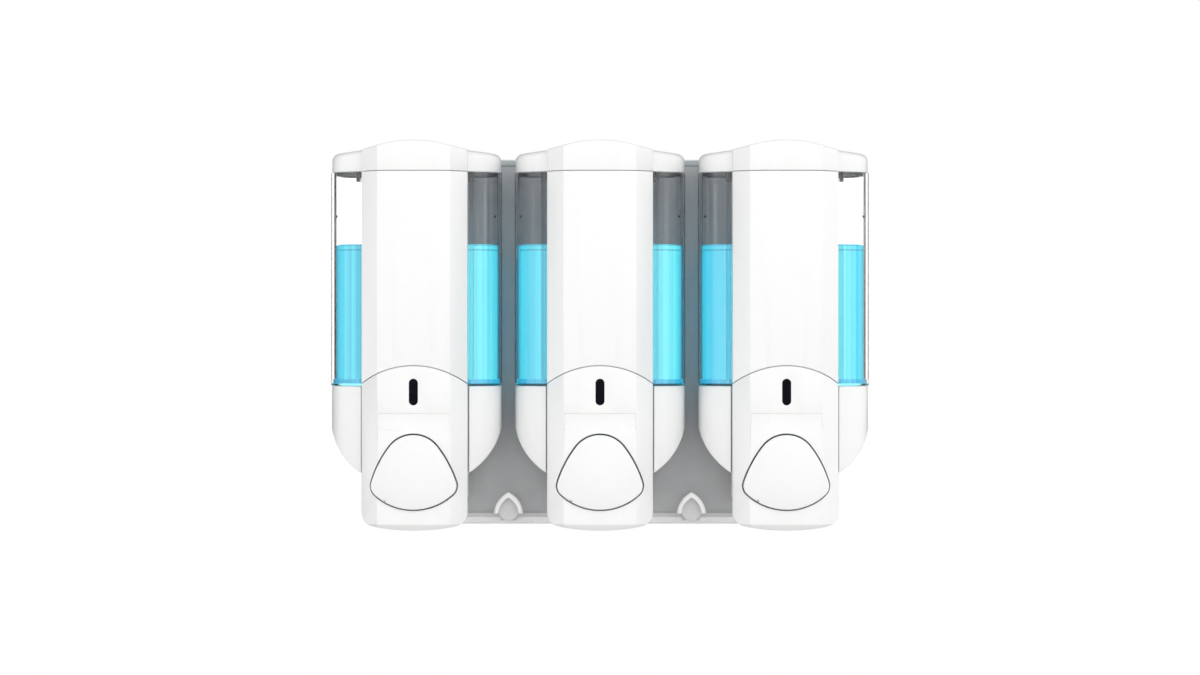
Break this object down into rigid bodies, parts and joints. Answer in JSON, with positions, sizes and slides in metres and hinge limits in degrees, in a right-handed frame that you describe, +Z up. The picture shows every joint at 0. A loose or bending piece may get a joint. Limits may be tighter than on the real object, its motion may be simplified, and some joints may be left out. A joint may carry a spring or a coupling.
{
  "type": "wall mounted soap dispenser",
  "caption": "Wall mounted liquid soap dispenser: clear soap chambers with lids, front columns and push buttons, side by side on a backplate with hooks.",
  "frame": {"origin": "centre of the four wall screw holes, on the wall", "axes": "+X along the row of chambers, to the right as seen from the front; +Y into the wall; +Z up"},
  "size_m": [0.2858, 0.0715, 0.2043],
  "materials": {
    "white_abs": "glossy",
    "plate_plastic": "satin",
    "clear_plastic": "clear",
    "cyan_soap": "liquid",
    "smoked_lens": "dark translucent",
    "inner_plastic": "moulded",
    "soft_rubber": "silicone",
    "spring_steel": "drawn wire",
    "foam_pad": "foam"
  },
  "bodies": {
    "wall_bracket": {"backplate": "plate_plastic", "hook_left": "white_abs", "hook_right": "white_abs", "adhesive_pads": "foam_pad"},
    "chamber_left": {"reservoir_left": "clear_plastic", "soap_left": "cyan_soap", "column_panel_left": "white_abs", "front_cover_left": "white_abs", "window_lens_left": "smoked_lens", "lower_housing_left": "white_abs", "pump_body_left": "inner_plastic", "pump_nut_left": "inner_plastic", "return_spring_left": "spring_steel", "inlet_valve_left": "soft_rubber", "outlet_valve_left": "soft_rubber", "outlet_gasket_left": "soft_rubber", "nozzle_left": "inner_plastic", "pump_screws_left": "spring_steel"},
    "cap_left": {"lid_left": "white_abs"},
    "plunger_left": {"button_left": "white_abs", "piston_left": "inner_plastic", "piston_seal_left": "soft_rubber"},
    "chamber_middle": {"reservoir_middle": "clear_plastic", "soap_middle": "cyan_soap", "column_panel_middle": "white_abs", "front_cover_middle": "white_abs", "window_lens_middle": "smoked_lens", "lower_housing_middle": "white_abs", "pump_body_middle": "inner_plastic", "pump_nut_middle": "inner_plastic", "return_spring_middle": "spring_steel", "inlet_valve_middle": "soft_rubber", "outlet_valve_middle": "soft_rubber", "outlet_gasket_middle": "soft_rubber", "nozzle_middle": "inner_plastic", "pump_screws_middle": "spring_steel"},
    "cap_middle": {"lid_middle": "white_abs"},
    "plunger_middle": {"button_middle": "white_abs", "piston_middle": "inner_plastic", "piston_seal_middle": "soft_rubber"},
    "chamber_right": {"reservoir_right": "clear_plastic", "soap_right": "cyan_soap", "column_panel_right": "white_abs", "front_cover_right": "white_abs", "window_lens_right": "smoked_lens", "lower_housing_right": "white_abs", "pump_body_right": "inner_plastic", "pump_nut_right": "inner_plastic", "return_spring_right": "spring_steel", "inlet_valve_right": "soft_rubber", "outlet_valve_right": "soft_rubber", "outlet_gasket_right": "soft_rubber", "nozzle_right": "inner_plastic", "pump_screws_right": "spring_steel"},
    "cap_right": {"lid_right": "white_abs"},
    "plunger_right": {"button_right": "white_abs", "piston_right": "inner_plastic", "piston_seal_right": "soft_rubber"}
  },
  "joints": [
    {"name": "chamber_lift_left", "type": "slide", "parent": "wall_bracket", "child": "chamber_left", "axis": [0, 0, 1], "range_m": [0, 0.015]},
    {"name": "lid_lift_left", "type": "slide", "parent": "chamber_left", "child": "cap_left", "axis": [0, 0, 1], "range_m": [0, 0.02]},
    {"name": "button_push_left", "type": "slide", "parent": "chamber_left", "child": "plunger_left", "axis": [0, 1, 0], "range_m": [0, 0.0065], "stiffness_N_per_m": 300, "springref_m": -0.004, "deforming": ["return_spring_left"]},
    {"name": "chamber_lift_middle", "type": "slide", "parent": "wall_bracket", "child": "chamber_middle", "axis": [0, 0, 1], "range_m": [0, 0.015]},
    {"name": "lid_lift_middle", "type": "slide", "parent": "chamber_middle", "child": "cap_middle", "axis": [0, 0, 1], "range_m": [0, 0.02]},
    {"name": "button_push_middle", "type": "slide", "parent": "chamber_middle", "child": "plunger_middle", "axis": [0, 1, 0], "range_m": [0, 0.0065], "stiffness_N_per_m": 300, "springref_m": -0.004, "deforming": ["return_spring_middle"]},
    {"name": "chamber_lift_right", "type": "slide", "parent": "wall_bracket", "child": "chamber_right", "axis": [0, 0, 1], "range_m": [0, 0.015]},
    {"name": "lid_lift_right", "type": "slide", "parent": "chamber_right", "child": "cap_right", "axis": [0, 0, 1], "range_m": [0, 0.02]},
    {"name": "button_push_right", "type": "slide", "parent": "chamber_right", "child": "plunger_right", "axis": [0, 1, 0], "range_m": [0, 0.0065], "stiffness_N_per_m": 300, "springref_m": -0.004, "deforming": ["return_spring_right"]}
  ]
}
